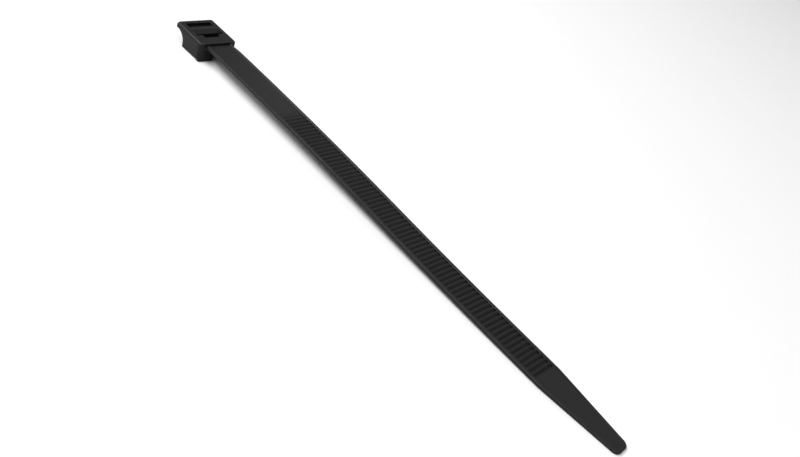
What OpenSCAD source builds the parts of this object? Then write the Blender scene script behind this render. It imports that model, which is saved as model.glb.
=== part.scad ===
// One-piece moulded cable tie with a broad strap, an integral ratchet rack and a windowed head.
// Millimetres. +X runs from the head to the tip, +Y lies across the strap and +Z is up, toothed
// face upward. The tie lies on Z = 0 on the foot of its head and the end of its tip; the strap
// leaves the head level and comes down to the floor in two equal opposed bends.

/* [Overall] */
// overall length, from the rear edge of the head plate to the end of the tip
tie_l = 242.8; // [202:0.1:292]
// strap width over the two edge rails
strap_w = 12.7; // [10.5:0.1:15.3]
// strap thickness over the edge rails
strap_t = 1.7; // [1.4:0.01:2.05]
// height of the head, from its foot to the top of its plate
head_h = 8.3; // [6.9:0.1:10]

/* [Strap section] */
// width of each edge rail at its top
rail_w = 0.95; // [0.7:0.01:1.3]
// depth of the tooth crests and of the plain face below the rail tops
crest_drop = 0.3; // [0.15:0.01:0.4]
// width of the sloping inner side of each rail
rail_slope = 0.3; // [0.1:0.01:0.4]
// radius of the lower strap edges
under_r = 0.45; // [0.2:0.01:0.6]
// radius of the upper strap edges
upper_r = 0.4; // [0.1:0.01:0.45]

/* [Rack] */
// spacing of the rack teeth along the strap
tooth_pitch = 2.02; // [1.68:0.01:2.43]
// depth of the gaps between the teeth, from crest to root
tooth_h = 0.55; // [0.4:0.01:0.65]
// share of the pitch taken by the flat crest of a tooth
crest_part = 0.3; // [0.25:0.01:0.4]
// share of the pitch taken by the ramp on the tip side of a tooth
ramp_part = 0.42; // [0.3:0.01:0.46]
// share of the pitch taken by the flat root of a gap
root_part = 0.16; // [0.08:0.01:0.18]
// length of plain strap between the head and the first tooth
plain_l = 50; // [20:0.5:70]
// number of gaps over which the rack grows to its full depth
fade_n = 4; // [1:1:8]

/* [Tip] */
// length of the tapered tip
taper_l = 30.8; // [24:0.1:40]
// tip width across the two end corners
tip_w = 7.2; // [5.5:0.1:9]
// radius of the two end corners of the tip
tip_r = 2.3; // [1.2:0.1:2.6]
// thickness of the end of the tip
tip_t = 1.05; // [0.8:0.01:1.3]
// length over which the top of the strap thins before the taper
thin_l = 8; // [2:0.5:15]

/* [Neck] */
// length of the side bevels where the strap leaves the head
neck_l = 8.4; // [4:0.1:12]
// width of each neck bevel on the top of the strap, at the head
neck_in = 0.9; // [0.4:0.01:1.1]
// depth of each neck bevel down the side of the strap, at the head
neck_drop = 1.15; // [0.6:0.01:1.3]
// radius of the fillet under the strap at the head
root_r = 1; // [0.5:0.1:1.6]

/* [Head] */
// length of the head along the strap
head_l = 19.1; // [18.4:0.1:22]
// width of the head across the strap
head_w = 18.2; // [16.8:0.1:22]
// height of the head plate above the rail tops of the strap
plate_rise = 0.65; // [0.4:0.01:1]
// thickness of the plate where it overhangs at the rear
plate_t = 2.25; // [1.9:0.01:2.6]
// width of the long top bevels of the head
bevel_w = 1.2; // [0.6:0.01:1.5]
// drop of the long top bevels of the head
bevel_h = 0.65; // [0.3:0.01:1]
// radius of the two upright front corners
front_r = 2.2; // [1:0.1:2.5]
// radius of the two upright rear corners
rear_r = 0.7; // [0.3:0.1:1.5]
// radius of the cove under the overhang at the rear
cove_r = 4.75; // [4:0.01:5]

/* [Foot] */
// distance from the rear edge of the head to the rear of its foot
heel_x = 6.3; // [6:0.1:6.6]
// length of the heel pad
heel_l = 1.8; // [1.2:0.1:2.2]
// length of the front pad
lip_l = 1.7; // [1:0.1:2]
// height of the front pad
lip_h = 1.2; // [0.9:0.1:1.6]
// radius of the two upright corners of the front pad
lip_r = 0.5; // [0.3:0.1:1]
// depth at the front pad of the sloping relief between the two pads
relief_d = 0.75; // [0.2:0.01:0.85]
// width of the notch in the middle of the front pad
notch_w = 4; // [1:0.1:5]
// height of the notch in the middle of the front pad
notch_h = 1.7; // [0.7:0.1:2.1]

/* [Rear window] */
// distance from the rear edge of the head to the rear window
rear_x = 1.95; // [1.6:0.01:2.3]
// length of the rear window along the strap
rear_l = 3.05; // [2.5:0.01:3.4]
// width of the rear window across the strap
rear_w = 12.2; // [10:0.1:14]
// depth of the rear window, which is closed at its bottom
rear_d = 1.5; // [1:0.05:1.8]
// corner radius of the windows
window_r = 0.4; // [0.2:0.01:0.6]

/* [Strap slot] */
// distance from the rear edge of the head to the back wall of the strap slot
slot_x = 9.35; // [9.2:0.01:9.6]
// room beside the strap on each side of the slot
slot_side = 0.15; // [0.1:0.01:0.4]
// room in front of the strap in the slot
slot_room = 0.95; // [0.8:0.01:1.1]
// length of the entry ramp behind the slot
entry_l = 2.7; // [1.5:0.1:3.2]
// drop of the entry ramp at the slot
entry_h = 1.1; // [0.6:0.01:1.5]

/* [Pawl] */
// width of the pawl pocket across the strap
pocket_w = 7.8; // [6.5:0.1:8.5]
// length of the pocket mouth in front of the slot
mouth_l = 2; // [1.8:0.1:2.3]
// length of the pocket below its roof, in front of the slot
pocket_l = 4.4; // [4.2:0.1:4.6]
// height of the roof of the pocket above the floor
roof_z = 5.2; // [5:0.1:5.6]
// gap on each side of the pawl
pawl_side = 0.4; // [0.25:0.01:0.6]
// thickness of the pawl arm at the roof
arm_t = 1.15; // [0.9:0.01:1.4]
// height of the free end of the pawl above the floor
pawl_z = 1.1; // [0.9:0.1:1.4]
// room between the pawl teeth and the rack roots of a strap lying on the back wall
pawl_room = 0.2; // [0.1:0.01:0.3]

/* [Hidden] */
$fn = 48;
// straight steps along the strap and around each quarter of its lower and upper edges
bend_n = 28;
under_n = 3;
upper_n = 3;
// overlap of shapes that run into one another, and the same where their faces are tangent
lap = 0.3;
graze = 0.04;
// start of the strap bends, inside the head, and height of the underside of the strap there
bend_x = head_l - 1.5;
root_z = head_h - plate_rise - strap_t;
// level end of the second bend, just past the tip
end_x = tie_l + 1;
// radius of the two bends on the underside of the strap, their turn and their length
bend_r = (pow(end_x - bend_x, 2) + pow(root_z, 2)) / (4 * root_z);
bend_a = asin((end_x - bend_x) / (2 * bend_r));
bend_l = bend_r * bend_a * PI / 180;
// start of the taper and of the thinning of the strap, with the height of its underside there
tip_x = tie_l - taper_l;
thin_x = tip_x - thin_l;
thin_z = bend_r - sqrt(pow(bend_r, 2) - pow(end_x - thin_x, 2));
// half width of the channel at the rail tops and at the crests
channel_top = strap_w / 2 - rail_w;
channel_floor = channel_top - rail_slope;
crest_z = strap_t - crest_drop;
// gaps that fit between the plain length and the taper
gap_n = floor((tip_x - head_l - plain_l) / tooth_pitch);
// centre of the cove
cove_x = heel_x - cove_r;
cove_z = head_h - plate_t - cove_r + graze;
// slot, pocket and pawl
slot_w = strap_w + 2 * slot_side;
mouth_x = slot_x + strap_t + slot_room;
arm_x = mouth_x + mouth_l + 0.05;
pawl_x = slot_x + crest_z - tooth_h + pawl_room;

// point at distance s past the start of the bends and height h above the underside of the strap
function on_strap(s, h) = s < bend_l
    ? [
        bend_x + (bend_r + h) * sin(bend_a * s / bend_l),
        root_z - bend_r + (bend_r + h) * cos(bend_a * s / bend_l)
    ]
    : [
        end_x - (bend_r - h) * sin(bend_a * (2 - s / bend_l)),
        bend_r - (bend_r - h) * cos(bend_a * (2 - s / bend_l))
    ];

// extrudes a section drawn across the strap along X
module along_x(length) {
    rotate([90, 0, 90]) linear_extrude(height = length) children();
}

// extrudes an outline drawn in X and Z across the strap, centred on it
module across_y(width) {
    rotate([90, 0, 0]) linear_extrude(height = width, center = true) children();
}

// points of a rounded corner about c, from angle a0 through a quarter turn in n steps
function corner(c, r, a0, n) =
    [for (k = [0 : n]) c + r * [cos(a0 + 90 * k / n), sin(a0 + 90 * k / n)]];

// section of the strap across it and up from its underside, rails and shallow channel on top
function strap_section() = let (half = strap_w / 2) [
    each corner([half - under_r, under_r], under_r, 270, under_n),
    each corner([half - upper_r, strap_t - upper_r], upper_r, 0, upper_n),
    [channel_top, strap_t],
    [channel_floor, crest_z],
    [-channel_floor, crest_z],
    [-channel_top, strap_t],
    each corner([upper_r - half, strap_t - upper_r], upper_r, 90, upper_n),
    each corner([under_r - half, under_r], under_r, 180, under_n)
];

// strap of constant section following the two opposed bends
module strap_run() {
    section = strap_section();
    n = len(section);
    polyhedron(
        points = [
            for (k = [0 : bend_n], p = section)
                let (q = on_strap(2 * bend_l * k / bend_n, p.y)) [q.x, p.x, q.y]
        ],
        faces = [
            [for (i = [0 : n - 1]) i],
            [for (i = [n - 1 : -1 : 0]) bend_n * n + i],
            for (k = [0 : bend_n - 1], i = [0 : n - 1]) let (j = (i + 1) % n)
                [k * n + i, (k + 1) * n + i, (k + 1) * n + j, k * n + j]
        ]
    );
}

// gaps between the teeth, ramp on the head side of each gap and steep face on its tip side
module gaps() {
    across_y(2 * channel_floor - 0.1) for (i = [0 : gap_n - 1]) {
        d = tooth_h * min(1, (i + 1) / fade_n);
        s = head_l - bend_x + plain_l + i * tooth_pitch;
        ramp = ramp_part * tooth_pitch;
        steep = (1 - crest_part - ramp_part - root_part) * tooth_pitch;
        root = s + ramp + root_part * tooth_pitch;
        polygon([
            on_strap(s - ramp * 0.2 / tooth_h, crest_z + 0.2 * d / tooth_h),
            on_strap(s + ramp, crest_z - d),
            on_strap(root, crest_z - d),
            on_strap(root + steep + steep * 0.2 / tooth_h, crest_z + 0.2 * d / tooth_h)
        ]);
    }
}

// outline of the tip, each side tangent to its end corner
module tip_outline() {
    c = [tie_l - tip_r, tip_w / 2 - tip_r];
    a = [tip_x, strap_w / 2];
    turn = atan2(c.y - a.y, c.x - a.x) + asin(tip_r / norm(c - a)) + 90;
    t = c + tip_r * [cos(turn), sin(turn)];
    polygon([
        [tip_x - 1, -a.y], [a.x, -a.y], [t.x, -t.y], [c.x, -c.y],
        c, t, a, [tip_x - 1, a.y]
    ]);
    translate([c.x - 0.01, -c.y]) square([tip_r + 0.01, 2 * c.y]);
    for (side = [-1, 1]) translate([c.x, side * c.y]) circle(r = tip_r);
}

// waste outside the outline of the tip and above its thinned top face
module tip_waste() {
    translate([0, 0, -1]) linear_extrude(height = strap_t + 3) difference() {
        translate([tip_x, -strap_w]) square([taper_l + 3, 2 * strap_w]);
        tip_outline();
    }
    translate([thin_x, 0, strap_t + thin_z])
        rotate([0, atan((strap_t + thin_z - tip_t) / (tie_l - thin_x)), 0])
        translate([0, -strap_w, 0]) cube([tie_l - thin_x + 5, 2 * strap_w, strap_t]);
}

// half space that bevels one side of the neck
module neck_waste() {
    n = cross([neck_l, neck_in, 0], [0, neck_in, -neck_drop]);
    translate([head_l, strap_w / 2 - neck_in, root_z + strap_t])
        rotate([0, acos(n.z / norm(n)), atan2(n.y, n.x)])
        translate([-neck_l, -2 * neck_l, 0]) cube([2 * neck_l, 4 * neck_l, neck_l]);
}

// finished strap
module strap() {
    difference() {
        strap_run();
        gaps();
        for (side = [0, 1]) mirror([0, side, 0]) neck_waste();
        tip_waste();
    }
}

// rectangle from x0 to x1 with rounded rear and front corners
module corner_block(x0, x1, width, rear, front) {
    half = width / 2;
    translate([x0 + rear, -half]) square([x1 - x0 - rear - front, width]);
    translate([x0, -half + rear]) square([2 * rear, width - 2 * rear]);
    translate([x1 - 2 * front, -half + front]) square([2 * front, width - 2 * front]);
    for (side = [-1, 1]) {
        translate([x0 + rear, side * (half - rear)]) circle(r = rear);
        translate([x1 - front, side * (half - front)]) circle(r = front);
    }
}

// side of the head in X and Z: plate overhang, cove, heel pad, relief and front pad
module head_side() {
    difference() {
        translate([-1, 0]) square([head_l + 2, head_h + 1]);
        translate([cove_x, cove_z]) circle(r = cove_r);
        translate([-2, -1]) square([2 + cove_x, head_h - plate_t + 1]);
        translate([-2, -1]) square([2 + heel_x - graze, cove_z + 1]);
        polygon([
            [heel_x + heel_l, -1],
            [heel_x + heel_l, 0],
            [head_l - lip_l, relief_d],
            [head_l - lip_l, -1]
        ]);
    }
}

// head before its openings are cut
module head_block() {
    half = head_w / 2;
    intersection() {
        union() {
            linear_extrude(height = head_h) corner_block(0, head_l, head_w, rear_r, front_r);
            linear_extrude(height = lip_h) corner_block(heel_x, head_l, head_w, lip_r, lip_r);
        }
        across_y(head_w + 2) head_side();
        translate([-1, 0, 0]) along_x(head_l + 2) polygon([
            [-half - 1, -1],
            [half + 1, -1],
            [half + 1, head_h - bevel_h * (1 + 1 / bevel_w)],
            [half - bevel_w, head_h],
            [-half + bevel_w, head_h],
            [-half - 1, head_h - bevel_h * (1 + 1 / bevel_w)]
        ]);
    }
}

// fillet between the underside of the strap and the front of the head
module root_fillet() {
    across_y(strap_w - 2 * under_r - 0.2) difference() {
        translate([head_l - lap, root_z - root_r])
            square([root_r + lap, root_r + lap]);
        translate([head_l + root_r - graze, root_z - root_r + graze]) circle(r = root_r);
        translate([head_l + root_r - graze, root_z - 2 * root_r])
            square([root_r, 2 * root_r]);
    }
}

// rear window, strap slot with its entry ramp, pocket of the pawl and notch of the front pad
module openings() {
    translate([0, 0, head_h - rear_d]) linear_extrude(height = rear_d + 1)
        corner_block(rear_x, rear_x + rear_l, rear_w, window_r, window_r);
    translate([0, 0, -1]) linear_extrude(height = head_h + 2) {
        corner_block(slot_x, mouth_x, slot_w, window_r, window_r);
        translate([mouth_x - lap, -pocket_w / 2]) square([mouth_l + lap, pocket_w]);
    }
    translate([mouth_x - lap, -pocket_w / 2, -1]) cube([pocket_l + lap, pocket_w, roof_z + 1]);
    across_y(slot_w) polygon([
        [slot_x - entry_l, head_h],
        [slot_x + window_r, head_h - entry_h * (1 + window_r / entry_l)],
        [slot_x + window_r, head_h + 1],
        [slot_x - entry_l, head_h + 1]
    ]);
    translate([head_l - lip_l - 1, -notch_w / 2, -1]) cube([lip_l + 2, notch_w, notch_h + 1]);
}

// pawl hanging from the roof of its pocket, two teeth toward the back wall of the slot
module pawl() {
    across_y(pocket_w - 2 * pawl_side) polygon([
        [arm_x, roof_z + lap],
        [arm_x, roof_z],
        [pawl_x + 1.7 * tooth_h, pawl_z + 1.75 * tooth_pitch],
        for (k = [1, 0]) each [
            [pawl_x, pawl_z + k * tooth_pitch + 0.25],
            [pawl_x, pawl_z + k * tooth_pitch],
            [pawl_x + tooth_h, pawl_z + k * tooth_pitch]
        ],
        [pawl_x + 2 * tooth_h, pawl_z],
        [mouth_x + 1, pawl_z + 0.4],
        [mouth_x + 1.6, pawl_z + tooth_pitch],
        [arm_x + arm_t, roof_z],
        [arm_x + arm_t, roof_z + lap]
    ]);
}

module cable_tie() {
    color([0.08, 0.08, 0.085]) translate([-tie_l / 2, 0, 0]) {
        difference() {
            head_block();
            openings();
        }
        pawl();
        root_fillet();
        strap();
    }
}

cable_tie();
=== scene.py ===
"""Black moulded cable tie: a windowed ratchet head and a long toothed strap, laid on a pale floor."""

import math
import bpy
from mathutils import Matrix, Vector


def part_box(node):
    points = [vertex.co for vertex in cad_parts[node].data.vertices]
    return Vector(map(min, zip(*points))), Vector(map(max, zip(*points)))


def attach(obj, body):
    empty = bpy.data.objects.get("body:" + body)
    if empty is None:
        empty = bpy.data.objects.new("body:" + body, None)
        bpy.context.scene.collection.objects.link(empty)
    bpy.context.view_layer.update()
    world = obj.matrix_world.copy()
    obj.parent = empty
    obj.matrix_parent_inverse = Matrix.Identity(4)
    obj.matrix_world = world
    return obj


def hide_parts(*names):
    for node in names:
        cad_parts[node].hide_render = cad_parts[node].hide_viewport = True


bl_info = {
    "name": "Cable Tie",
    "version": (1, 0, 0),
    "blender": (4, 5, 0),
    "location": "View3D > Sidebar > Cable Tie",
    "description": "Builds the head and the strap of a moulded cable tie with their nylon and a plain stage",
    "category": "Add Mesh",
}

from types import SimpleNamespace

import bpy
import numpy as np
from bpy.props import FloatProperty, FloatVectorProperty, IntProperty, PointerProperty
from mathutils import Matrix, Vector

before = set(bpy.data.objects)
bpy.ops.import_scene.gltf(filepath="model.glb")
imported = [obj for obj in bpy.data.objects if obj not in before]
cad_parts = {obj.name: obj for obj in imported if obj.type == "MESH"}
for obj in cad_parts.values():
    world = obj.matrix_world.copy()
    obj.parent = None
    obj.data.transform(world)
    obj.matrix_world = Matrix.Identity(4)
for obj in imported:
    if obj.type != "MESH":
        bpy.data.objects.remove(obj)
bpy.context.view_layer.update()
TIE_LOW, TIE_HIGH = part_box("cable_tie")
MM = 0.001
# shares of a tooth pitch: ramp down, flat root, steep rise and flat crest
RAMP_SHARE, ROOT_SHARE, RISE_SHARE, CREST_SHARE = 0.42, 0.16, 0.12, 0.30
# how far the start of the strap in the head piece lies inside the strap's own surface, in millimetres
STUB_INSET = 0.04


def length(name, description, default):
    """A size in metres with its default given in millimetres."""
    return FloatProperty(
        name=name, description=description, default=default * MM, min=0.0, unit="LENGTH", precision=5
    )


class StrapSizes(bpy.types.PropertyGroup):
    """Sizes of the strap, its rack and its tip."""

    width: length("Width", "Strap width over the two rails", 12.7)
    thickness: length("Thickness", "Strap thickness over the rails", 1.7)
    rail: length("Rail width", "Width of each edge rail at its top", 0.95)
    slope: length("Rail slope", "Width of the sloping inner side of each rail", 0.3)
    crest_drop: length("Crest drop", "Depth of the plain face and of the tooth crests below the rails", 0.3)
    under_radius: length("Lower edge radius", "Radius of the lower strap edges", 0.45)
    upper_radius: length("Upper edge radius", "Radius of the upper strap edges", 0.4)
    pitch: length("Tooth pitch", "Spacing of the rack teeth", 2.02)
    depth: length("Tooth depth", "Depth of the gaps between the teeth", 0.55)
    plain: length("Plain length", "Plain strap between the head and the first tooth", 50.0)
    taper: length("Taper length", "Length of the tapered tip", 30.8)
    thinning: length("Thinning length", "Length over which the strap thins before its taper", 8.0)
    tip_width: length("Tip width", "Tip width across its two end corners", 7.2)
    tip_radius: length("Tip radius", "Radius of the two end corners", 2.3)
    tip_thickness: length("Tip thickness", "Thickness of the end of the tip", 1.05)
    neck: length("Neck length", "Length of the side bevels beside the head", 8.4)
    neck_in: length("Neck bevel width", "Width of each neck bevel on top of the strap", 0.9)
    neck_drop: length("Neck bevel drop", "Depth of each neck bevel down the side", 1.15)
    fade: IntProperty(name="Fading gaps", description="Gaps over which the rack deepens", default=4, min=1)


class HeadSizes(bpy.types.PropertyGroup):
    """Sizes of the head, its openings and its pawl."""

    length: length("Length", "Length of the head along the strap", 19.1)
    rise: length("Plate rise", "Height of the head plate above the rails", 0.65)
    overhang: length("Overhang thickness", "Thickness of the plate where it overhangs at the rear", 2.25)
    bevel_width: length("Bevel width", "Width of the long top bevels", 1.2)
    bevel_drop: length("Bevel drop", "Drop of the long top bevels", 0.65)
    front_radius: length("Front corner radius", "Radius of the upright front corners", 2.2)
    rear_radius: length("Rear corner radius", "Radius of the upright rear corners", 0.7)
    cove: length("Cove radius", "Radius of the cove under the overhang", 4.75)
    heel: length("Heel place", "Distance from the rear edge to the rear of the foot", 6.3)
    heel_pad: length("Heel pad", "Length of the heel pad", 1.8)
    lip: length("Front pad", "Length of the front pad", 1.7)
    lip_height: length("Front pad height", "Height of the front pad", 1.2)
    lip_radius: length("Front pad corners", "Radius of the upright corners of the front pad", 0.5)
    relief: length("Relief", "Depth at the front pad of the sloping relief", 0.75)
    notch_width: length("Notch width", "Width of the notch in the front pad", 4.0)
    notch_height: length("Notch height", "Height of the notch in the front pad", 1.7)
    window_place: length("Window place", "Distance from the rear edge to the rear window", 1.95)
    window_length: length("Window length", "Length of the rear window", 3.05)
    window_width: length("Window width", "Width of the rear window", 12.2)
    window_depth: length("Window depth", "Depth of the closed rear window", 1.5)
    window_radius: length("Window corner radius", "Corner radius of the windows", 0.4)
    slot_place: length("Slot place", "Distance from the rear edge to the back wall of the slot", 9.35)
    slot_side: length("Slot side room", "Room beside the strap in the slot", 0.15)
    slot_room: length("Slot room", "Room in front of the strap in the slot", 0.95)
    entry: length("Entry ramp length", "Length of the entry ramp behind the slot", 2.7)
    entry_drop: length("Entry ramp drop", "Drop of the entry ramp at the slot", 1.1)
    pocket_width: length("Pocket width", "Width of the pawl pocket", 7.8)
    mouth: length("Pocket mouth", "Length of the pocket mouth in front of the slot", 2.0)
    pocket: length("Pocket length", "Length of the pocket below its roof", 4.4)
    roof: length("Pocket roof", "Height of the pocket roof above the floor", 5.2)
    pawl_side: length("Pawl side gap", "Gap on each side of the pawl", 0.4)
    arm: length("Pawl arm", "Thickness of the pawl arm at the roof", 1.15)
    pawl_foot: length("Pawl height", "Height of the free end of the pawl", 1.1)
    pawl_room: length("Pawl room", "Room between the pawl teeth and the rack roots", 0.2)
    edge: length("Edge radius", "Radius of the moulded edges", 0.22)


class NylonFinish(bpy.types.PropertyGroup):
    """Colours and surface of the black nylon."""

    colour: FloatVectorProperty(
        name="Nylon", description="Colour of the moulded nylon", subtype="COLOR",
        size=3, min=0.0, max=1.0, default=(0.0085, 0.0084, 0.0086),
    )
    pale: FloatVectorProperty(
        name="Paler nylon", description="Colour where the mould left the surface paler", subtype="COLOR",
        size=3, min=0.0, max=1.0, default=(0.0130, 0.0127, 0.0124),
    )
    # painted edge sheen: a pale colour on the convex edges and rail slopes that stands in for highlights,
    # with some rubbing
    sheen_and_rubbing: FloatVectorProperty(
        name="Edge sheen and rubbing", description="Colour of the painted edge sheen, with some rubbing on the edges", subtype="COLOR",
        size=3, min=0.0, max=1.0, default=(0.060, 0.059, 0.058),
    )
    gloss: FloatProperty(
        name="Roughness", description="Mean roughness of the nylon",
        default=0.34, min=0.0, max=1.0, subtype="FACTOR",
    )
    grain: length("Grain size", "Spacing of the fine moulded grain", 0.35)
    flow: length("Flow mark size", "Spacing across the strap of the flow marks", 1.6)


class StageSettings(bpy.types.PropertyGroup):
    """Floor, camera and lights."""

    floor: FloatVectorProperty(
        name="Floor", description="Colour of the floor", subtype="COLOR",
        size=3, min=0.0, max=1.0, default=(0.86, 0.86, 0.86),
    )
    lens: FloatProperty(name="Lens", description="Focal length of the camera", default=33.8, unit="CAMERA")
    key: FloatProperty(
        name="Key light", description="Power of the key light over the head", default=16.0, unit="POWER"
    )
    back: FloatProperty(
        name="Back light", description="Power of the light behind the tie", default=3.2, unit="POWER"
    )
    corner: FloatProperty(
        name="Corner light", description="Power of the light over the tip", default=4.0, unit="POWER"
    )
    sky: FloatProperty(name="Room light", description="Strength of the room light", default=0.25, min=0.0)


class CableTieSettings(bpy.types.PropertyGroup):
    """Everything that can be set on the cable tie."""

    strap: PointerProperty(type=StrapSizes)
    head: PointerProperty(type=HeadSizes)
    nylon: PointerProperty(type=NylonFinish)
    stage: PointerProperty(type=StageSettings)


def millimetres(group):
    """The sizes of a property group as plain numbers, lengths in millimetres."""
    sizes = {}
    for key, prop in group.bl_rna.properties.items():
        if prop.type == "FLOAT":
            sizes[key] = round(getattr(group, key) / MM, 4)
        elif prop.type == "INT":
            sizes[key] = getattr(group, key)
    return SimpleNamespace(**sizes)


def measures(settings):
    """Sizes of head and strap with what follows from them, X counted from the rear edge of the head."""
    s, h = millimetres(settings.strap), millimetres(settings.head)
    s.length = (TIE_HIGH.x - TIE_LOW.x) / MM
    h.width = (TIE_HIGH.y - TIE_LOW.y) / MM
    h.height = (TIE_HIGH.z - TIE_LOW.z) / MM
    s.root = h.height - h.rise - s.thickness
    s.crest = s.thickness - s.crest_drop
    s.start = h.length - 1.5
    s.end = s.length + 1.0
    s.bend = ((s.end - s.start) ** 2 + s.root**2) / (4 * s.root)
    s.taper_start = s.length - s.taper
    s.thin_start = s.taper_start - s.thinning
    s.gaps = math.floor((s.taper_start - h.length - s.plain) / s.pitch)
    h.slot_width = s.width + 2 * h.slot_side
    h.slot_front = h.slot_place + s.thickness + h.slot_room
    h.arm_place = h.slot_front + h.mouth + 0.05
    h.pawl_place = h.slot_place + s.crest - s.depth + h.pawl_room
    return s, h


# ------------------------------------------------------------------ solid shapes as distance fields


def round_max(a, b, r):
    """What two fields share, its edge rounded: the greater field, or near the edge the distance to an
    arc of radius r about the line that lies r inside both."""
    return np.minimum(-r, np.maximum(a, b)) + np.hypot(np.maximum(a + r, 0), np.maximum(b + r, 0))


def round_min(a, b, r):
    """Two fields joined with a fillet of radius r: the rounded edge of what both leave empty."""
    return -round_max(-a, -b, r)


def slab(p, low, high):
    """Distance to the layer between two parallel faces, negative inside."""
    return np.abs(p - (low + high) / 2) - (high - low) / 2


def rectangle(a, b, r):
    """Distance to a rounded rectangle from its two slab distances: outside its inner corner it is the
    distance to that corner less r, elsewhere the greater slab distance."""
    a, b = a + r, b + r
    return np.minimum(np.maximum(a, b), 0) + np.hypot(np.maximum(a, 0), np.maximum(b, 0)) - r


def polygon(x, z, corners):
    """Distance to a polygon: the least distance to its sides, negative where the count of sides
    crossed by a level ray is odd."""
    a = np.array(corners, float)
    best, inside = np.full(x.shape, np.inf), np.zeros(x.shape, bool)
    for (ax, az), (bx, bz) in zip(a, np.roll(a, -1, axis=0)):
        dx, dz, px, pz = bx - ax, bz - az, x - ax, z - az
        t = np.clip((px * dx + pz * dz) / (dx * dx + dz * dz), 0, 1)
        best = np.minimum(best, np.hypot(px - t * dx, pz - t * dz))
        if dz:
            inside ^= ((az > z) != (bz > z)) & (px < pz * dx / dz)
    return np.where(inside, -best, best)


def head_body(x, side, z, s, h):
    """Block of the head: its plan with four upright corner radii, cut by the long bevels, the top, the
    cove under the overhang, the floor and the relief between the pads, each edge rounded."""
    half, edge = h.width / 2, h.edge
    corner = np.where(x < h.length / 2, h.rear_radius, h.front_radius)
    body = rectangle(slab(x, 0, h.length), side - half, corner)
    pad = rectangle(slab(x, h.heel, h.length), side - half, h.lip_radius)
    body = np.minimum(body, round_max(pad, z - h.lip_height, 0.5 * edge))
    lean = math.hypot(h.bevel_drop, h.bevel_width)
    bevel = (h.bevel_drop * (side - half + h.bevel_width) + h.bevel_width * (z - h.height)) / lean
    body = round_max(body, bevel, 1.6 * edge)
    body = round_max(body, z - h.height, edge)
    cove = round_max(x - h.heel, z - (h.height - h.overhang), h.cove)
    body = round_max(body, -cove, edge)
    body = round_max(body, -z, 0.8 * edge)
    rear, front = h.heel + h.heel_pad, h.length - h.lip
    under = z - h.relief * (x - rear) / (front - rear)
    return round_max(body, -np.maximum(slab(x, rear, front), under), 0.5 * edge)


def head_openings(x, side, z, h):
    """Rear window, strap slot with its entry ramp, pawl pocket and notch, joined by the least field."""
    window = rectangle(
        slab(x, h.window_place, h.window_place + h.window_length), side - h.window_width / 2, h.window_radius
    )
    window = round_max(window, h.height - h.window_depth - z, 0.2)
    slot = rectangle(slab(x, h.slot_place, h.slot_front), side - h.slot_width / 2, h.window_radius)
    mouth = rectangle(slab(x, h.slot_front - 1, h.slot_front + h.mouth), side - h.pocket_width / 2, 0.25)
    pocket = rectangle(slab(x, h.slot_front - 1, h.slot_front + h.pocket), side - h.pocket_width / 2, 0.25)
    pocket = round_max(pocket, z - h.roof, 0.25)
    rise = (z - h.height) * h.entry + (x - h.slot_place + h.entry) * h.entry_drop
    ramp = -rise / math.hypot(h.entry, h.entry_drop)
    ramp = np.maximum(ramp, slab(x, h.slot_place - 4, h.slot_place + 0.5))
    ramp = round_max(ramp, side - h.slot_width / 2, 0.15)
    notch = np.maximum(h.length - h.lip - 1 - x, side - h.notch_width / 2)
    notch = round_max(notch, z - h.notch_height, 0.25)
    least = np.minimum(np.minimum(window, slot), np.minimum(mouth, pocket))
    return np.minimum(np.minimum(least, ramp), notch)


def pawl(x, side, z, s, h):
    """Pawl that hangs from the pocket roof: a side outline with two teeth, as wide as the pocket less
    its side gaps."""
    place, foot, depth = h.pawl_place, h.pawl_foot, s.depth
    outline = [(h.arm_place, h.roof + 0.5), (place + 1.7 * depth, foot + 1.75 * s.pitch)]
    for k in (1, 0):
        level = foot + k * s.pitch
        outline += [(place, level + 0.25), (place, level), (place + depth, level)]
    outline += [
        (place + 2 * depth, foot), (h.slot_front + 1, foot + 0.4), (h.slot_front + 1.6, foot + s.pitch),
        (h.arm_place + h.arm, h.roof), (h.arm_place + h.arm, h.roof + 0.5),
    ]
    return round_max(polygon(x, z, outline), side - h.pocket_width / 2 + h.pawl_side, 0.12)


def strap_stub(x, side, z, s, h, low, high):
    """Start of the strap just inside its real surface between two heights, with the neck bevel."""
    stub = rectangle(side - s.width / 2 + STUB_INSET, slab(z, low, high), 0.3)
    neck = (
        side - s.width / 2 + s.neck_in
        + (z - s.root - s.thickness) * s.neck_in / s.neck_drop
        - (x - h.length) * s.neck_in / s.neck
    )
    stub = round_max(stub, neck / math.hypot(1, s.neck_in / s.neck_drop) + STUB_INSET, 0.15)
    return np.maximum(stub, slab(x, h.length - 1, h.length + 1.6))


def head_field(points, s, h):
    """Head of the tie: its block less its openings, with the pawl joined in the pocket and the start of
    the strap joined by fillets, a small one around it and a larger one below it."""
    x, side, z = points[..., 0], np.abs(points[..., 1]), points[..., 2]
    block = round_max(head_body(x, side, z, s, h), -head_openings(x, side, z, h), 0.8 * h.edge)
    block = round_min(block, pawl(x, side, z, s, h), 0.2)
    low, high = s.root + STUB_INSET, s.root + s.crest - STUB_INSET
    field = round_min(block, strap_stub(x, side, z, s, h, low, high), 0.1)
    below = round_min(block, strap_stub(x, side, z, s, h, low, s.root + 0.8), 1.0)
    below = np.maximum(below, np.maximum(z - s.root - 0.4, h.length - 1 - x))
    return np.minimum(field, below)


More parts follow.
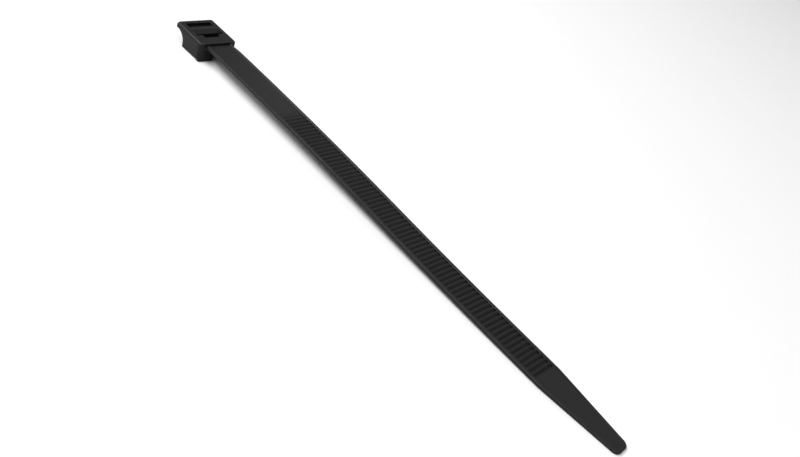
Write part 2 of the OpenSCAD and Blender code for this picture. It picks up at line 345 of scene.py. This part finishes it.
def graded(low, high, marks, fine, coarse, reach):
    """Positions from low to high, spaced fine near each mark and coarse elsewhere: equal steps of the
    sum of a density that peaks at the marks."""
    x = np.linspace(low, high, 6000)
    near = np.exp(-(((x[:, None] - np.array(marks)) / reach) ** 2)).max(1)
    density = 1 / coarse + (1 / fine - 1 / coarse) * near
    total = np.concatenate([[0.0], np.cumsum((density[1:] + density[:-1]) / 2 * np.diff(x))])
    return np.interp(np.linspace(0, total[-1], math.ceil(total[-1]) + 1), total, x)


def skin(axes, field):
    """Closed skin where a field on a box grid is zero. Each cell that the zero surface crosses has one
    point, the mean of the crossings on its edges, and each grid edge that changes sign has one quad
    through the four cells around it."""
    inside = field < 0
    count = sum(
        inside[i : i - 1 or None, j : j - 1 or None, k : k - 1 or None].astype(np.int8)
        for i in (0, 1) for j in (0, 1) for k in (0, 1)
    )
    crossed = (count > 0) & (count < 8)
    cell = np.argwhere(crossed)
    order = np.full(crossed.shape, -1)
    order[crossed] = np.arange(len(cell))
    total, hits = np.zeros((len(cell), 3)), np.zeros(len(cell))
    for axis in range(3):
        for u in (0, 1):
            for v in (0, 1):
                start = cell.copy()
                start[:, (axis + 1) % 3] += u
                start[:, (axis + 2) % 3] += v
                stop = start.copy()
                stop[:, axis] += 1
                a, b = field[tuple(start.T)], field[tuple(stop.T)]
                cut = (a < 0) != (b < 0)
                share = np.where(cut, a / np.where(cut, a - b, 1), 0)[:, None]
                p = np.stack([axes[d][start[:, d]] for d in range(3)], axis=1)
                q = np.stack([axes[d][stop[:, d]] for d in range(3)], axis=1)
                total += np.where(cut[:, None], p + share * (q - p), 0)
                hits += cut
    quads = []
    for axis in range(3):
        turn = (axis, (axis + 1) % 3, (axis + 2) % 3)
        solid, cells = inside.transpose(turn), order.transpose(turn)
        a, b = solid[:-1, 1:-1, 1:-1], solid[1:, 1:-1, 1:-1]
        i, j, k = np.nonzero(a != b)
        ring = np.stack(
            [cells[i, j, k], cells[i, j + 1, k], cells[i, j + 1, k + 1], cells[i, j, k + 1]], axis=1
        )
        quads.append(np.where(a[i, j, k][:, None], ring, ring[:, ::-1]))
    return total / hits[:, None], np.concatenate(quads)


def slope(points, field, step):
    """Gradient of a field by central differences."""
    sides = []
    for axis in range(3):
        shift = np.zeros(3)
        shift[axis] = step
        sides.append((field(points + shift) - field(points - shift)) / (2 * step))
    return np.stack(sides, axis=-1)


def settle(points, field):
    """Moves points onto the zero surface: each step goes down the gradient by the field over it."""
    for _ in range(4):
        grad = slope(points, field, 0.01)
        steep = np.maximum((grad**2).sum(-1, keepdims=True), 0.2)
        points = points - np.clip(field(points), -0.08, 0.08)[:, None] * grad / steep
    grad = slope(points, field, 0.02)
    return points, grad / np.maximum(np.linalg.norm(grad, axis=-1, keepdims=True), 1e-9)


# ------------------------------------------------------------------ strap as a section along its path


def underside(x, s):
    """Height and lean of the underside of the strap at x: one arc down from the level start at the
    head, then an equal arc that ends level on the floor."""
    middle = (s.start + s.end) / 2
    first = s.root - s.bend + np.sqrt(s.bend**2 - np.minimum(x - s.start, middle - s.start) ** 2)
    second = s.bend - np.sqrt(s.bend**2 - np.minimum(s.end - x, s.end - middle) ** 2)
    lean = np.where(x < middle, x - s.start, s.end - x) / s.bend
    return np.where(x < middle, first, second), lean


def gap_depth(x, s, h):
    """Depth of the rack at x: in each pitch a ramp down, a flat root, a steep rise and a flat crest,
    deeper over the first gaps, and averaged over a short window that rounds its corners."""
    first = h.length + s.plain
    shape_at = np.cumsum([0.0, RAMP_SHARE, ROOT_SHARE, RISE_SHARE, CREST_SHARE])
    window = np.linspace(-0.07, 0.07, 9)
    place = (np.asarray(x)[..., None] + window - first) / s.pitch
    number = np.floor(place)
    depth = np.interp(place - number, shape_at, [0.0, 1.0, 1.0, 0.0, 0.0])
    grown = np.clip((number + 1) / s.fade, 0, 1) * (number < s.gaps)
    return s.depth * (depth * grown).mean(-1)


def strap_stations(s, h):
    """Places along the strap: close together around the neck, nine to each tooth, even elsewhere."""
    neck = np.linspace(s.start, h.length + s.neck + 1, 24)
    first, last = h.length + s.plain, h.length + s.plain + s.gaps * s.pitch
    plain = np.linspace(neck[-1], first - 0.15, 40)[1:]
    steps = np.array([-0.06, 0.06, RAMP_SHARE * 1.01, 0.79, 0.91, 1.11, 1.23, 1.36, 1.48])
    rack = (first + s.pitch * np.arange(s.gaps)[:, None] + steps).ravel()
    rest = np.linspace(last + 0.1, s.taper_start, 6)
    return np.unique(np.round(np.concatenate([neck, plain, rack, rest]), 4))


def strap_outline(s, h):
    """Half outline of the strap in plan from the head to the middle of the tip, with its inward
    direction and the middle point that each outline point looks to: straight side, straight taper
    tangent to the corner circle, the circle, and the flat end."""
    half, r = s.width / 2, s.tip_radius
    centre = np.array([s.length - r, s.tip_width / 2 - r])
    corner = np.array([s.taper_start, half])
    reach = np.linalg.norm(centre - corner)
    turn = math.atan2(centre[1] - corner[1], centre[0] - corner[0]) + math.asin(r / reach) + math.pi / 2
    touch = centre + r * np.array([math.cos(turn), math.sin(turn)])
    x = strap_stations(s, h)
    straight = np.stack([x, np.full_like(x, half)], axis=1)
    share = np.linspace(0, 1, 34)[1:, None]
    taper = corner + share * (touch - corner)
    angle = np.linspace(turn, 0, 22)[1:]
    arc = centre + r * np.stack([np.cos(angle), np.sin(angle)], axis=1)
    flat = np.stack([np.full(6, s.length), np.linspace(centre[1], 0, 7)[1:]], axis=1)
    edge = np.concatenate([straight, taper, arc, flat])
    inward = np.concatenate([
        np.tile([0.0, -1.0], (len(straight), 1)),
        np.tile([-math.cos(turn), -math.sin(turn)], (len(taper), 1)),
        -np.stack([np.cos(angle), np.sin(angle)], axis=1),
        np.tile([-1.0, 0.0], (len(flat), 1)),
    ])
    run = np.concatenate([[0.0], np.cumsum(np.linalg.norm(np.diff(edge, axis=0), axis=1))])
    since = np.clip(run - run[len(straight) - 1], 0, None)
    middle_x = np.where(since > 0, s.taper_start + since / since[-1] * (s.taper - 2.7), edge[:, 0])
    return edge, inward, np.stack([middle_x, np.zeros(len(edge))], axis=1)


def strap_columns(s):
    """Columns of the half section from the middle of the top round to the middle of the underside: the
    inset from the edge, the share of the way to the middle, and the height each one takes. A name is a
    height that strap_points works out, a number below zero lies that far under the top, and any other
    number is a height over the underside. The top of the crown is named, because its number is zero."""
    inner = s.rail + s.slope
    turn = np.radians([90, 67, 45, 22, 0])
    upper, under = s.upper_radius, s.under_radius
    rows = [(inner + 0.05, f, "gap") for f in (1.0, 0.8, 0.6, 0.4, 0.2, 0.06)]
    rows += [(inner + 0.05, 0.0, "gap"), (inner, 0.0, "crest"), (inner - 0.05, 0.0, "slope_low")]
    rows += [(s.rail + 0.05, 0.0, "slope_high"), (s.rail - 0.04, 0.0, "top"), (s.rail * 0.6, 0.0, "top")]
    rows += [(upper, 0.0, "top")]
    rows += [(upper * (1 - math.cos(a)), 0.0, -upper * (1 - math.sin(a))) for a in turn[1:]]
    rows += [(0.0, 0.0, "middle")]
    rows += [(under * (1 - math.cos(a)), 0.0, under * (1 - math.sin(a))) for a in turn[::-1]]
    rows += [(under, f, "under") for f in (0.1, 0.3, 0.5, 0.75, 1.0)]
    return rows


def strap_points(s, h):
    """Strap surface as a grid of outline points by section columns. A point lies at its column's inset
    from the outline, or part of the way to the middle, at the height that its column takes there, and
    is then set on the bent underside along the strap's own up direction. Only past the start of the
    thinning does a falling plane limit the top."""
    edge, inward, middle = strap_outline(s, h)
    thin_top = s.thickness + underside(np.array(s.thin_start), s)[0]
    fall = (thin_top - s.tip_thickness) / (s.length - s.thin_start)
    ratio = s.neck_in / s.neck_drop
    columns, edges = [], []
    for inset, share, kind in strap_columns(s):
        at = edge + inset * inward
        at = at + share * (middle - at)
        x, y = at[:, 0], at[:, 1]
        base = underside(x, s)[0]
        limit = thin_top - fall * (x - s.thin_start) - base
        top = np.where(x > s.thin_start, np.minimum(limit, s.thickness), s.thickness)
        crest = np.minimum(top, s.crest)
        if kind == "gap":
            z = crest - gap_depth(x, s, h)
        elif kind == "crest":
            z = crest
        elif kind == "slope_low":
            z = crest + 0.12 * (top - crest)
        elif kind == "slope_high":
            z = top - 0.12 * (top - crest)
        elif kind == "top":
            z = top
        elif kind == "middle":
            z = (top + s.under_radius - s.upper_radius) / 2
        elif kind == "under":
            z = np.zeros_like(x)
        elif kind < 0:
            z = top + kind
        else:
            z = np.full_like(x, kind)
        past = y - s.width / 2 + s.neck_in + ratio * (z - s.thickness) - (x - h.length) * s.neck_in / s.neck
        shift = np.maximum(past, 0) / (1 + ratio**2)
        columns.append(np.stack([x, y - shift, z - ratio * shift], axis=1))
        # weight of the painted edge sheen with some rubbing: the rounds and the top of the rail slope get it,
        # the flat faces not
        if isinstance(kind, str):
            rim = 0.8 if kind == "slope_high" else 0.0
        else:
            rim = 1.0 if kind <= 0 else 0.5
        edges.append(np.full_like(x, rim))
    grid = np.stack(columns, axis=1)
    height, lean = underside(grid[..., 0], s)
    along = grid[..., 0] + grid[..., 2] * lean
    up = height + grid[..., 2] * np.sqrt(1 - lean**2)
    return np.stack([along, grid[..., 1], up], axis=-1), np.stack(edges, axis=1)


def close_strap(half_grid, half_edges):
    """Whole strap from its half grid: each row runs round the section and back along the mirrored side,
    the last row is folded onto itself, and the first is closed by one face."""
    rows, half = half_grid.shape[:2]
    mirrored = half_grid[:, -2:0:-1] * [1, -1, 1]
    grid = np.concatenate([half_grid, mirrored], axis=1)
    edges = np.concatenate([half_edges, half_edges[:, -2:0:-1]], axis=1)
    ring = grid.shape[1]
    index = np.arange(rows * ring).reshape(rows, ring)
    index[-1, half:] = index[-1, half - 2 : 0 : -1]
    after = np.roll(index, -1, axis=1)
    quads = np.stack([index[:-1], index[1:], after[1:], after[:-1]], axis=-1).reshape(-1, 4)
    used, quads = np.unique(quads, return_inverse=True)
    quads = quads.reshape(-1, 4)
    cap = np.searchsorted(used, index[0])
    return grid.reshape(-1, 3)[used], edges.ravel()[used], quads, cap


# ------------------------------------------------------------------ meshes


def add_piece(name, points, quads, cap, edges, material):
    """Mesh object of the nylon slot from points in millimetres counted from the head's rear edge, an
    array of quads, and the corners of one closing face or none. Its attribute weighs at each point the
    painted edge sheen, a paler colour that stands in for highlights, with some rubbing."""
    points = points * MM + np.array([TIE_LOW.x, 0.0, TIE_LOW.z])
    mesh = bpy.data.meshes.new(name)
    corners = np.concatenate([quads.ravel(), cap])
    starts = np.arange(len(quads) + (len(cap) > 0)) * 4
    mesh.vertices.add(len(points))
    mesh.vertices.foreach_set("co", points.astype(np.float32).ravel())
    mesh.loops.add(len(corners))
    mesh.loops.foreach_set("vertex_index", corners.astype(np.int32))
    mesh.polygons.add(len(starts))
    mesh.polygons.foreach_set("loop_start", starts.astype(np.int32))
    mesh.update(calc_edges=True)
    if mesh.validate():
        raise RuntimeError(f"{name} has faulty faces")
    sheen_and_rubbing_weight = mesh.attributes.new("sheen_and_rubbing_weight", "FLOAT", "POINT")
    sheen_and_rubbing_weight.data.foreach_set("value", edges.astype(np.float32))
    mesh.materials.append(material)
    piece = bpy.data.objects.new(name, mesh)
    bpy.context.scene.collection.objects.link(piece)
    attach(piece, "root")
    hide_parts("cable_tie")
    return piece


# ------------------------------------------------------------------ nylon


def new_group(name, inputs, outputs):
    """Empty shader group with named sockets, and its input and output nodes."""
    group = bpy.data.node_groups.new(name, "ShaderNodeTree")
    for label, kind, default in inputs:
        socket = group.interface.new_socket(label, in_out="INPUT", socket_type=kind)
        if default is not None:
            socket.default_value = default
    for label, kind in outputs:
        group.interface.new_socket(label, in_out="OUTPUT", socket_type=kind)
    return group, group.nodes.new("NodeGroupInput"), group.nodes.new("NodeGroupOutput")


def calculate(tree, operation, a, b=None, c=None):
    """Math node with its inputs linked or set."""
    node = tree.nodes.new("ShaderNodeMath")
    node.operation = operation
    for socket, value in zip(node.inputs, (a, b, c)):
        if isinstance(value, (int, float)):
            socket.default_value = value
        elif value is not None:
            tree.links.new(value, socket)
    return node.outputs[0]


def noise(tree, vector, scale, detail, roughness=0.5):
    """Noise node on a vector, giving its value."""
    node = tree.nodes.new("ShaderNodeTexNoise")
    node.inputs["Detail"].default_value = detail
    node.inputs["Roughness"].default_value = roughness
    tree.links.new(vector, node.inputs["Vector"])
    if isinstance(scale, (int, float)):
        node.inputs["Scale"].default_value = scale
    else:
        tree.links.new(scale, node.inputs["Scale"])
    return node.outputs["Fac"]


def grain_group():
    """Moulded surface: fine grain and slow flow marks drawn out along the strap, giving a tone, a
    roughness change and a height."""
    group, given, result = new_group(
        "Moulded Grain",
        [
            ("Vector", "NodeSocketVector", None), ("Grain", "NodeSocketFloat", 0.00035),
            ("Flow", "NodeSocketFloat", 0.0016),
        ],
        [("Tone", "NodeSocketFloat"), ("Gloss", "NodeSocketFloat"), ("Height", "NodeSocketFloat")],
    )
    vector = given.outputs["Vector"]
    fine = noise(group, vector, calculate(group, "DIVIDE", 1.0, given.outputs["Grain"]), 3.0, 0.6)
    stretch = group.nodes.new("ShaderNodeMapping")
    stretch.inputs["Scale"].default_value = (0.16, 1.0, 1.0)
    group.links.new(vector, stretch.inputs["Vector"])
    flow = noise(group, stretch.outputs[0], calculate(group, "DIVIDE", 1.0, given.outputs["Flow"]), 4.0, 0.55)
    patch = noise(group, vector, 120.0, 3.0, 0.5)
    flow_part, patch_part = calculate(group, "MULTIPLY", flow, 0.6), calculate(group, "MULTIPLY", patch, 0.4)
    tone = calculate(group, "ADD", flow_part, patch_part)
    group.links.new(tone, result.inputs["Tone"])
    shine = calculate(group, "MULTIPLY_ADD", fine, 0.35, calculate(group, "MULTIPLY", flow, 0.65))
    group.links.new(calculate(group, "SUBTRACT", shine, 0.5), result.inputs["Gloss"])
    height = calculate(group, "MULTIPLY_ADD", fine, 0.3, calculate(group, "MULTIPLY", flow, 0.7))
    group.links.new(height, result.inputs["Height"])
    return group


def sheen_and_rubbing_group():
    """Painted edge sheen with some rubbing: the edge weight attribute broken up by a noise, giving a mask."""
    group, given, result = new_group(
        "Painted Edge Sheen And Rubbing",
        [
            ("Vector", "NodeSocketVector", None), ("Sheen And Rubbing Weight", "NodeSocketFloat", 0.0),
            ("Amount", "NodeSocketFloat", 0.6),
        ],
        [("Mask", "NodeSocketFloat")],
    )
    broken = noise(group, given.outputs["Vector"], 900.0, 4.0, 0.6)
    kept = calculate(group, "MULTIPLY_ADD", broken, 1.2, -0.1)
    shown = calculate(group, "MULTIPLY", given.outputs["Sheen And Rubbing Weight"], kept)
    mask = calculate(group, "MULTIPLY", shown, given.outputs["Amount"])
    clamp = calculate(group, "MINIMUM", calculate(group, "MAXIMUM", mask, 0.0), 1.0)
    group.links.new(clamp, result.inputs["Mask"])
    return group


def blend_colours(tree, share, first, second):
    """Colour mix of two colours, each linked or set."""
    node = tree.nodes.new("ShaderNodeMix")
    node.data_type = "RGBA"
    tree.links.new(share, node.inputs[0])
    for socket, value in ((node.inputs[6], first), (node.inputs[7], second)):
        if isinstance(value, tuple):
            socket.default_value = value
        else:
            tree.links.new(value, socket)
    return node.outputs[2]


def nylon_material(finish):
    """Black nylon: flow marks and grain change its tone, gloss and height, and its edges carry a painted
    sheen, a paler colour with some rubbing.
    """
    existing = bpy.data.materials.get("moulded_nylon")
    if existing:
        return existing
    material = bpy.data.materials.new("moulded_nylon")
    material.use_nodes = True
    tree = material.node_tree
    tree.nodes.clear()
    shader = tree.nodes.new("ShaderNodeBsdfPrincipled")
    output = tree.nodes.new("ShaderNodeOutputMaterial")
    tree.links.new(shader.outputs[0], output.inputs["Surface"])
    place = tree.nodes.new("ShaderNodeTexCoord")
    sheen_and_rubbing_weight = tree.nodes.new("ShaderNodeAttribute")
    sheen_and_rubbing_weight.attribute_name = "sheen_and_rubbing_weight"
    grain = tree.nodes.new("ShaderNodeGroup")
    grain.node_tree = grain_group()
    grain.inputs["Grain"].default_value = finish.grain
    grain.inputs["Flow"].default_value = finish.flow
    tree.links.new(place.outputs["Object"], grain.inputs["Vector"])
    sheen_and_rubbing = tree.nodes.new("ShaderNodeGroup")
    sheen_and_rubbing.node_tree = sheen_and_rubbing_group()
    tree.links.new(place.outputs["Object"], sheen_and_rubbing.inputs["Vector"])
    tree.links.new(sheen_and_rubbing_weight.outputs["Fac"], sheen_and_rubbing.inputs["Sheen And Rubbing Weight"])
    body = blend_colours(tree, grain.outputs["Tone"], (*finish.colour, 1.0), (*finish.pale, 1.0))
    # painted edge sheen: the edges blend toward a paler colour that stands in for highlights, with some
    # rubbing
    colour = blend_colours(tree, sheen_and_rubbing.outputs["Mask"], body, (*finish.sheen_and_rubbing, 1.0))
    tree.links.new(colour, shader.inputs["Base Color"])
    rough = calculate(tree, "MULTIPLY_ADD", grain.outputs["Gloss"], 0.35, finish.gloss)
    tree.links.new(rough, shader.inputs["Roughness"])
    bump = tree.nodes.new("ShaderNodeBump")
    bump.inputs["Strength"].default_value = 0.35
    bump.inputs["Distance"].default_value = 0.00006
    tree.links.new(grain.outputs["Height"], bump.inputs["Height"])
    tree.links.new(bump.outputs[0], shader.inputs["Normal"])
    shader.inputs["IOR"].default_value = 1.5
    shader.inputs["Specular IOR Level"].default_value = 0.11
    return material


# ------------------------------------------------------------------ operators


class HeadOperator(bpy.types.Operator):
    """Build the head with its window, slot, pocket and pawl"""

    bl_idname = "cable_tie.head"
    bl_label = "Build Head"

    def execute(self, context):
        settings = context.scene.cable_tie
        s, h = measures(settings)
        xs = graded(
            -0.4, h.length + 2.1,
            [
                0, h.window_place, h.window_place + h.window_length, h.heel, h.slot_place - h.entry,
                h.slot_place, h.slot_front, h.arm_place, h.slot_front + h.pocket, h.length,
                h.length - h.lip,
            ],
            0.11, 0.34, 0.3,
        )
        half = [
            h.width / 2, h.width / 2 - h.bevel_width, h.slot_width / 2, h.window_width / 2,
            h.pocket_width / 2, h.pocket_width / 2 - h.pawl_side,
        ]
        both = [side * y for side in (-1, 1) for y in half]
        ys = graded(-h.width / 2 - 0.4, h.width / 2 + 0.4, both, 0.11, 0.36, 0.26)
        zs = graded(
            -0.4, h.height + 0.4,
            [
                0, h.relief, h.roof, h.height - h.overhang, s.root, s.root + s.crest,
                h.height - h.bevel_drop, h.height,
            ],
            0.11, 0.32, 0.25,
        )
        grid = np.stack(np.meshgrid(xs, ys, zs, indexing="ij"), axis=-1)
        points, quads = skin((xs, ys, zs), head_field(grid, s, h))

        def field(p):
            return head_field(p, s, h)

        points, normals = settle(points, field)
        # convex edges, found from the bend of the field, weigh the painted edge sheen with some rubbing
        bend = sum(field(points + d) + field(points - d) for d in 0.09 * np.eye(3)) / 0.09**2
        sheen_and_rubbing_weight = np.clip(bend * 0.16, 0, 1)
        no_cap = np.zeros(0, int)
        piece = add_piece("head", points, quads, no_cap, sheen_and_rubbing_weight, nylon_material(settings.nylon))
        piece.data.polygons.foreach_set("use_smooth", np.ones(len(quads), bool))
        piece.data.normals_split_custom_set_from_vertices(normals.astype(np.float32))
        return {"FINISHED"}


class StrapOperator(bpy.types.Operator):
    """Build the bent strap with its rails, rack and tapered tip"""

    bl_idname = "cable_tie.strap"
    bl_label = "Build Strap"

    def execute(self, context):
        settings = context.scene.cable_tie
        s, h = measures(settings)
        points, edges, quads, cap = close_strap(*strap_points(s, h))
        piece = add_piece("strap", points, quads, cap, edges, nylon_material(settings.nylon))
        piece.data.polygons.foreach_set("use_smooth", np.ones(len(quads) + 1, bool))
        piece.data.set_sharp_from_angle(angle=math.radians(38))
        return {"FINISHED"}


def add_panel_light(name, place, along, width, depth, power):
    """Soft rectangular light that faces the middle of the tie, its width laid in a given direction."""
    light = bpy.data.lights.new(name, "AREA")
    light.shape = "RECTANGLE"
    light.size, light.size_y = width, depth
    light.energy = power
    lamp = bpy.data.objects.new(name, light)
    back = Vector(place).normalized()
    right = (Vector(along) - Vector(along).dot(back) * back).normalized()
    turn = Matrix((right, back.cross(right), back)).transposed().to_4x4()
    lamp.matrix_world = Matrix.Translation(place) @ turn
    bpy.context.scene.collection.objects.link(lamp)
    return lamp


class StageOperator(bpy.types.Operator):
    """Lay the pale floor and set the camera and the soft lights"""

    bl_idname = "cable_tie.stage"
    bl_label = "Set Stage"

    def execute(self, context):
        stage, scene = context.scene.cable_tie.stage, context.scene
        material = bpy.data.materials.new("floor_card")
        material.use_nodes = True
        tree = material.node_tree
        shader = tree.nodes["Principled BSDF"]
        place = tree.nodes.new("ShaderNodeTexCoord")
        fleck = noise(tree, place.outputs["Object"], 60.0, 4.0)
        pale = tuple(min(1.0, c * 1.015) for c in stage.floor)
        colour = blend_colours(tree, fleck, (*stage.floor, 1.0), (*pale, 1.0))
        tree.links.new(colour, shader.inputs["Base Color"])
        shader.inputs["Roughness"].default_value = 0.9
        shader.inputs["Specular IOR Level"].default_value = 0.1
        mesh = bpy.data.meshes.new("floor")
        reach = 4.0
        mesh.from_pydata(
            [(-reach, -reach, 0), (reach, -reach, 0), (reach, reach, 0), (-reach, reach, 0)],
            [],
            [(0, 1, 2, 3)],
        )
        mesh.materials.append(material)
        floor = bpy.data.objects.new("floor", mesh)
        scene.collection.objects.link(floor)

        camera = bpy.data.objects.new("camera", bpy.data.cameras.new("camera"))
        camera.data.lens = stage.lens
        camera.data.sensor_width = 36.0
        camera.data.clip_start = 0.01
        right = Vector((0.65350, 0.68012, 0.33223))
        up = Vector((-0.62535, 0.23783, 0.74322))
        back = right.cross(up)
        turn = Matrix((right, up, back)).transposed().to_4x4()
        camera.matrix_world = Matrix.Translation((0.13199, -0.18710, 0.15986)) @ turn
        scene.collection.objects.link(camera)
        scene.camera = camera

        add_panel_light("key_light", (-0.56, -0.52, 0.94), (-0.66, 0.58, -0.06), 1.2, 0.28, stage.key)
        add_panel_light("back_light", (-0.25, 0.95, 0.80), (1, 0, 0), 1.6, 0.70, stage.back)
        add_panel_light("corner_light", (0.5, -0.2, 1.2), (1, 0, 0), 0.5, 0.5, stage.corner)
        world = bpy.data.worlds.new("room")
        world.use_nodes = True
        sky = world.node_tree.nodes["Background"]
        sky.inputs["Color"].default_value = (1.0, 1.0, 1.0, 1.0)
        sky.inputs["Strength"].default_value = stage.sky
        scene.world = world
        scene.view_settings.view_transform = "Standard"
        return {"FINISHED"}


class CableTiePanel(bpy.types.Panel):
    """Lists the operators and the sizes in the sidebar"""

    bl_idname = "VIEW3D_PT_cable_tie"
    bl_label = "Cable Tie"
    bl_space_type = "VIEW_3D"
    bl_region_type = "UI"
    bl_category = "Cable Tie"

    def draw(self, context):
        settings = context.scene.cable_tie
        for operator in (HeadOperator, StrapOperator, StageOperator):
            self.layout.operator(operator.bl_idname)
        groups = (
            ("Strap", settings.strap), ("Head", settings.head),
            ("Nylon", settings.nylon), ("Stage", settings.stage),
        )
        for title, group in groups:
            box = self.layout.box()
            box.label(text=title)
            for key in group.bl_rna.properties.keys():
                if key not in ("rna_type", "name"):
                    box.prop(group, key)


CLASSES = (
    StrapSizes, HeadSizes, NylonFinish, StageSettings, CableTieSettings,
    HeadOperator, StrapOperator, StageOperator, CableTiePanel,
)


def register():
    for cls in CLASSES:
        bpy.utils.register_class(cls)
    bpy.types.Scene.cable_tie = PointerProperty(type=CableTieSettings)


def unregister():
    del bpy.types.Scene.cable_tie
    for cls in reversed(CLASSES):
        bpy.utils.unregister_class(cls)


def main():
    """Registers the classes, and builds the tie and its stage."""
    register()
    bpy.ops.cable_tie.head()
    bpy.ops.cable_tie.strap()
    bpy.ops.cable_tie.stage()
    bpy.context.view_layer.update()


if __name__ == "__main__":
    main()
